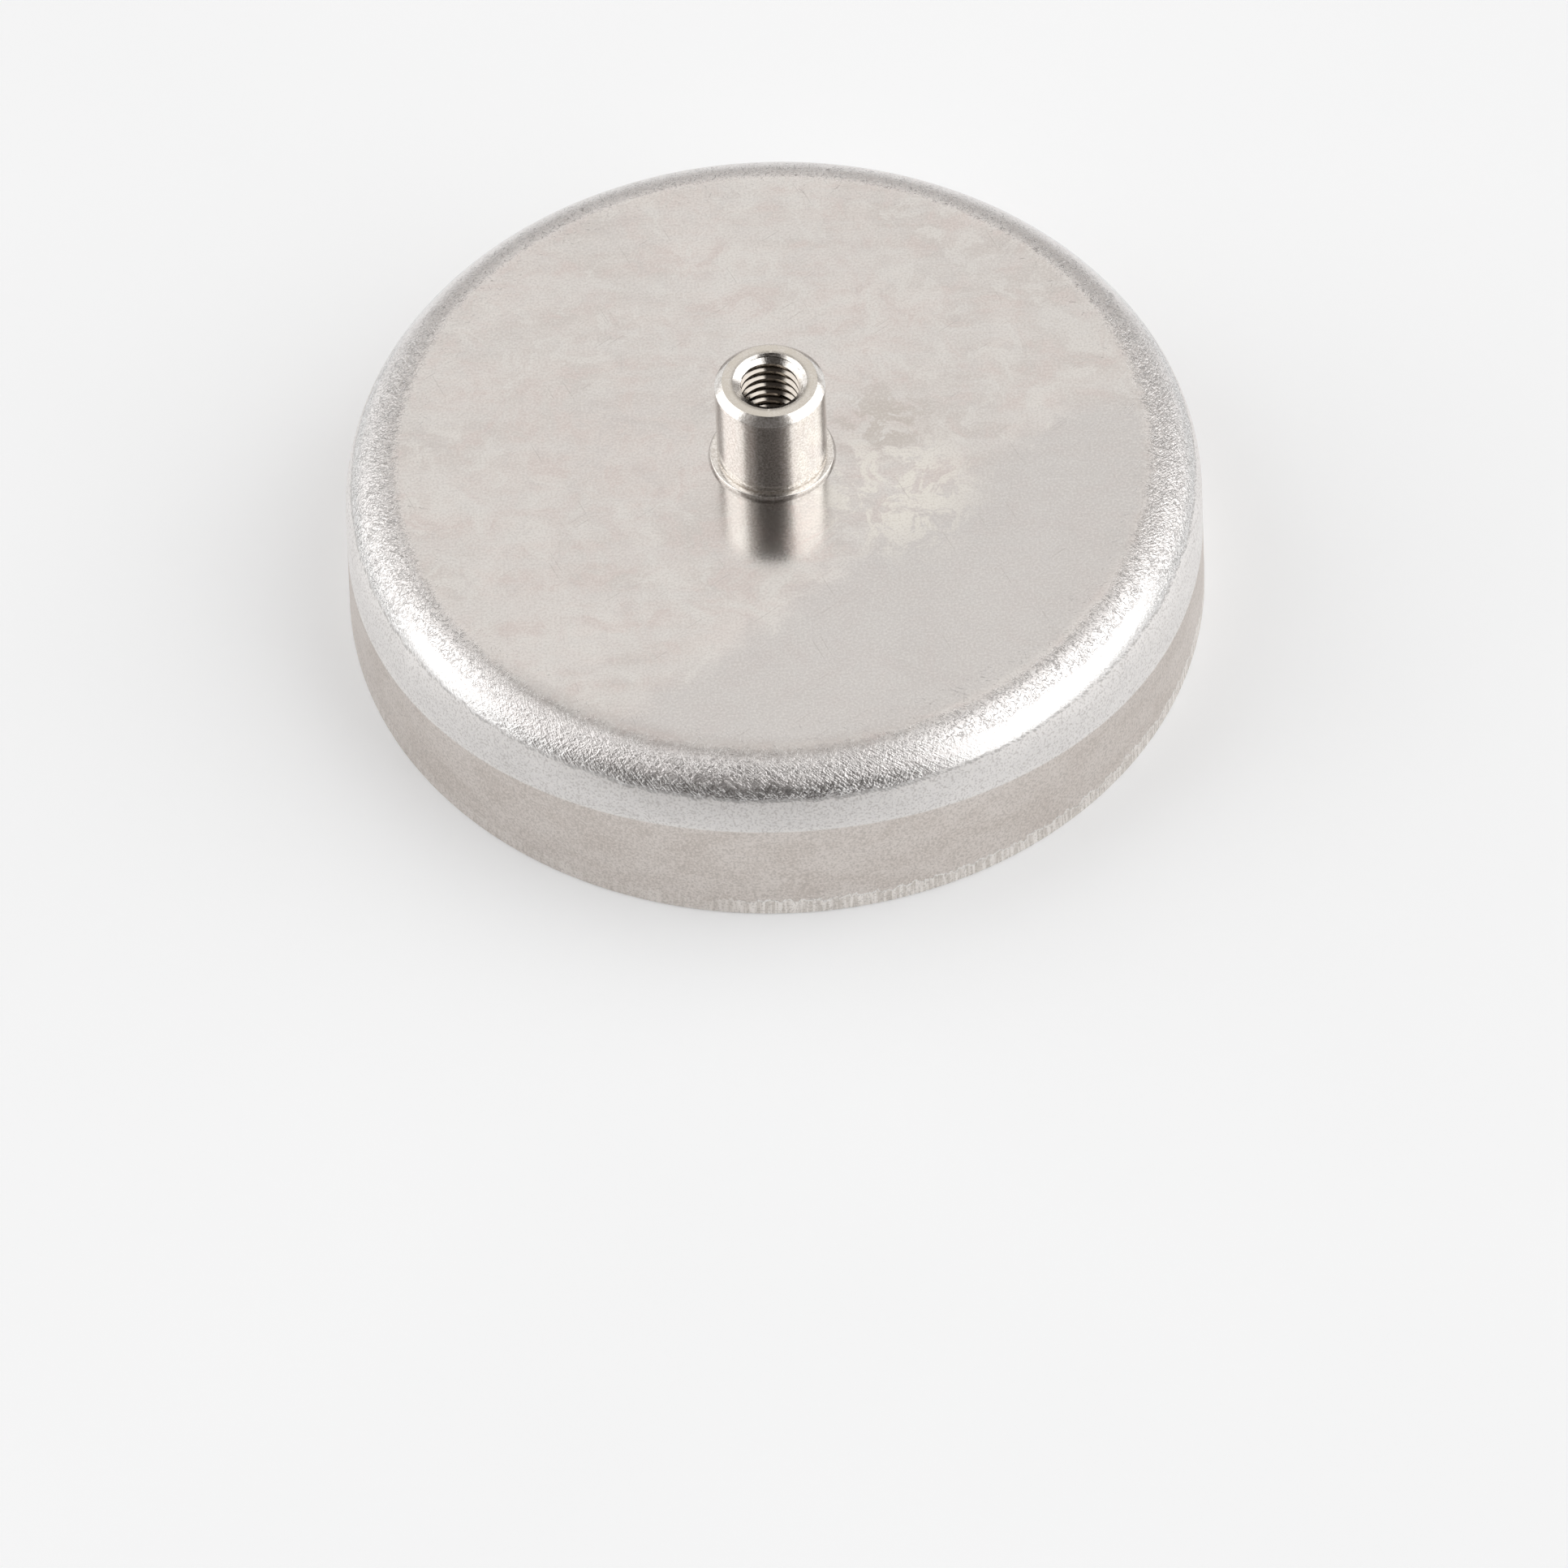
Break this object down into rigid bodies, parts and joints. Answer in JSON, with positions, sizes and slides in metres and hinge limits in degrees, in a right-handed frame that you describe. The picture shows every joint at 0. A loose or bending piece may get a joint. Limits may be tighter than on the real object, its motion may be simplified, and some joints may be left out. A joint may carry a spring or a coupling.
{
  "type": "threaded pot magnet",
  "caption": "Shallow round steel pot magnet with a ferrite disc in its open face and a short, internally threaded bush standing on the middle of its back.",
  "frame": {"origin": "centre of the magnetic face, in the plane of the cup's rim", "axes": "+Z along the thread's axis, out of the bush; X and Y are any two directions across the round pot"},
  "size_m": [0.063, 0.063, 0.022],
  "materials": {
    "drawn_steel": "satin zinc plating on drawn steel, crinkled on the bend",
    "plated_steel": "bright nickel plating on turned steel",
    "ferrite": "ground dark grey hard ferrite",
    "resin": "cured dark potting resin, slightly glossy"
  },
  "bodies": {
    "root": {"pot_cup": "drawn_steel", "threaded_bush": "plated_steel", "magnet_disc": "ferrite", "resin_ring": "resin"}
  },
  "joints": []
}
